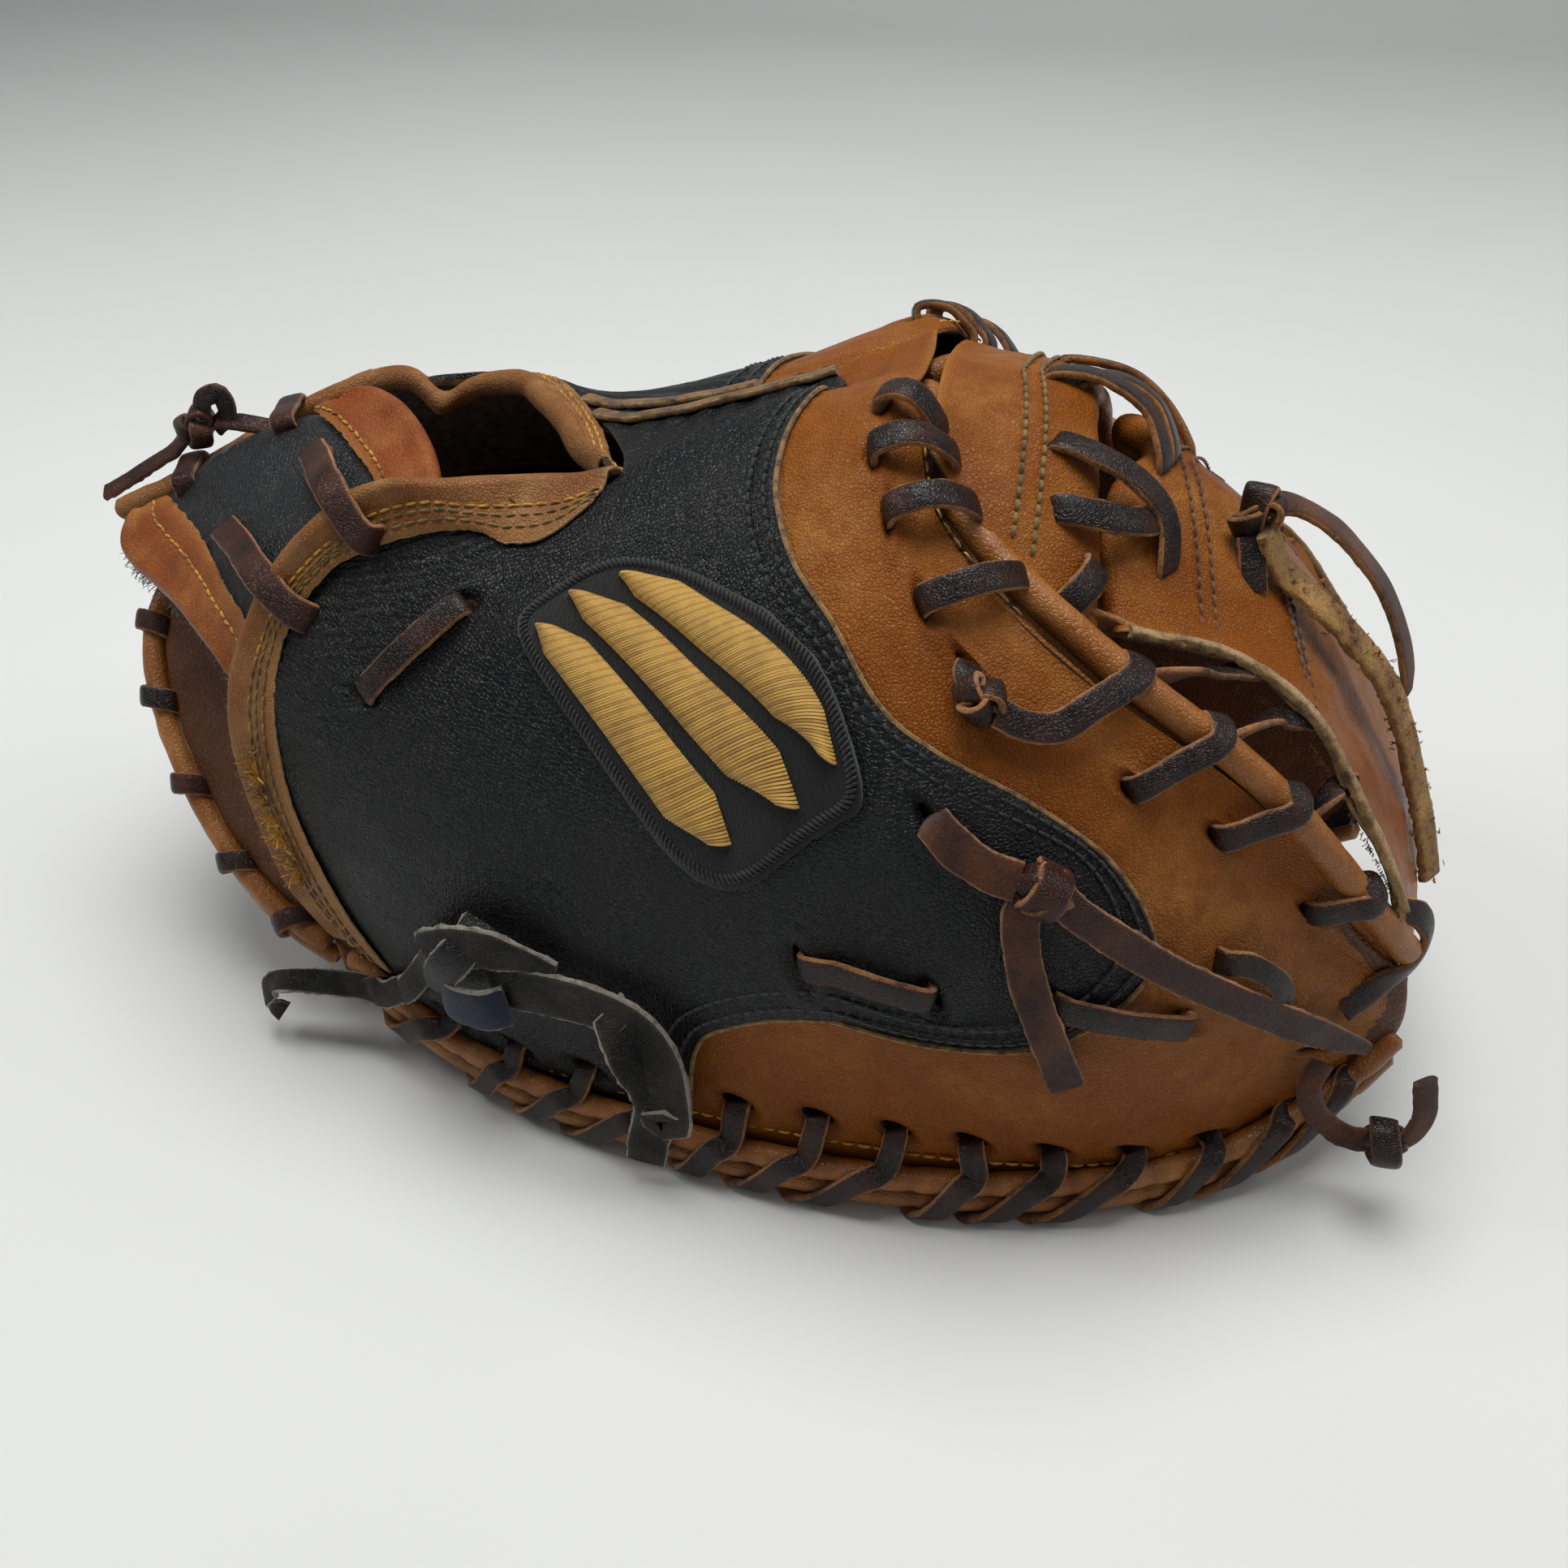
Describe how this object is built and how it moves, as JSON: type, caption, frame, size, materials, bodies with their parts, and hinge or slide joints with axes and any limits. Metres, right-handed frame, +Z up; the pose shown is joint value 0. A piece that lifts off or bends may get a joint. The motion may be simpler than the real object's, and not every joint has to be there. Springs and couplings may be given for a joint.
{
  "type": "baseball catcher's mitt",
  "caption": "Leather baseball catcher's mitt with a padded rim, laced web, wrist strap and hand opening, folding along its palm crease.",
  "frame": {"origin": "on the floor plane under the palm crease, halfway along the mitt", "axes": "+X from the wrist to the web, -Y is the thumb side, +Z up, mitt resting palm down on its rims"},
  "size_m": [0.35, 0.2022, 0.1638],
  "materials": {
    "black_leather": "worn full-grain, semi-matt",
    "tan_leather": "oiled full-grain, semi-gloss",
    "palm_leather": "broken-in, darkened by use",
    "edge_leather": "piped and bound, semi-gloss",
    "liner_leather": "soft, matt",
    "rawhide_lace": "waxed grain face, rough suede edges",
    "felt_pad": "pressed wool felt",
    "patch_felt": "felt with a stitched edge",
    "gold_thread": "satin-stitch embroidery",
    "fleece": "matted fleece"
  },
  "bodies": {
    "finger_side": {"finger_back_black": "black_leather", "finger_back_tan": "tan_leather", "finger_pad": "felt_pad", "finger_liner": "liner_leather", "palm_leather_finger_half": "palm_leather", "finger_rim_roll_back": "edge_leather", "finger_rim_roll_palm": "edge_leather", "finger_rim_lace": "rawhide_lace", "finger_web_roll": "edge_leather", "finger_web_lace": "rawhide_lace", "finger_wrist_binding": "edge_leather", "pinky_loop": "liner_leather", "pinky_loop_laces": "rawhide_lace", "strap_laces_finger": "rawhide_lace", "web_base": "tan_leather", "web_top": "tan_leather", "web_centre_lace": "rawhide_lace", "wrist_strap": "black_leather", "strap_lining": "fleece", "heel_roll": "edge_leather", "heel_lace": "rawhide_lace", "ridge_welt": "black_leather"},
    "thumb_side": {"thumb_back_black": "black_leather", "thumb_back_tan": "tan_leather", "thumb_pad": "felt_pad", "thumb_liner": "liner_leather", "palm_leather_thumb_half": "palm_leather", "thumb_rim_roll_back": "edge_leather", "thumb_rim_roll_palm": "edge_leather", "thumb_rim_lace": "rawhide_lace", "thumb_web_roll": "edge_leather", "thumb_web_lace": "rawhide_lace", "thumb_wrist_binding": "edge_leather", "thumb_loop": "liner_leather", "thumb_loop_laces": "rawhide_lace", "emblem_patch": "patch_felt", "emblem_thread": "gold_thread", "strap_laces_thumb": "rawhide_lace"},
    "thumb_knot": {"thumb_knot_tails": "rawhide_lace"},
    "rim_tail_end": {"rim_tail": "rawhide_lace"},
    "heel_thong_end": {"heel_thong": "black_leather"},
    "web_tail_ends": {"web_tails": "rawhide_lace"},
    "strap_tail_end": {"strap_tail": "rawhide_lace"}
  },
  "joints": [
    {"name": "pocket_fold", "type": "hinge", "parent": "finger_side", "child": "thumb_side", "pos_m": [0, 0, 0.15], "axis": [-1, 0, 0], "range_deg": [-14, 18], "deforming": ["palm_leather_thumb_half", "palm_leather_finger_half", "heel_roll", "heel_lace", "web_base", "web_top", "web_centre_lace", "wrist_strap", "strap_lining", "ridge_welt"]},
    {"name": "thumb_knot_lift", "type": "hinge", "parent": "thumb_side", "child": "thumb_knot", "pos_m": [0.046, -0.092, 0.108], "axis": [-1, 0, 0], "range_deg": [0, 25]},
    {"name": "rim_tail_swing", "type": "hinge", "parent": "thumb_side", "child": "rim_tail_end", "pos_m": [0.138, -0.065, 0.03], "axis": [-1, 0, 0], "range_deg": [0, 35]},
    {"name": "heel_thong_lift", "type": "hinge", "parent": "thumb_side", "child": "heel_thong_end", "pos_m": [-0.045, -0.088, 0.066], "axis": [-1, 0, 0], "range_deg": [0, 30]},
    {"name": "web_tail_lift", "type": "hinge", "parent": "finger_side", "child": "web_tail_ends", "pos_m": [0.103, -0.006, 0.137], "axis": [0, -1, 0], "range_deg": [0, 30]},
    {"name": "strap_tail_lift", "type": "hinge", "parent": "finger_side", "child": "strap_tail_end", "pos_m": [-0.15, 0.018, 0.134], "axis": [0, 1, 0], "range_deg": [0, 30]}
  ]
}
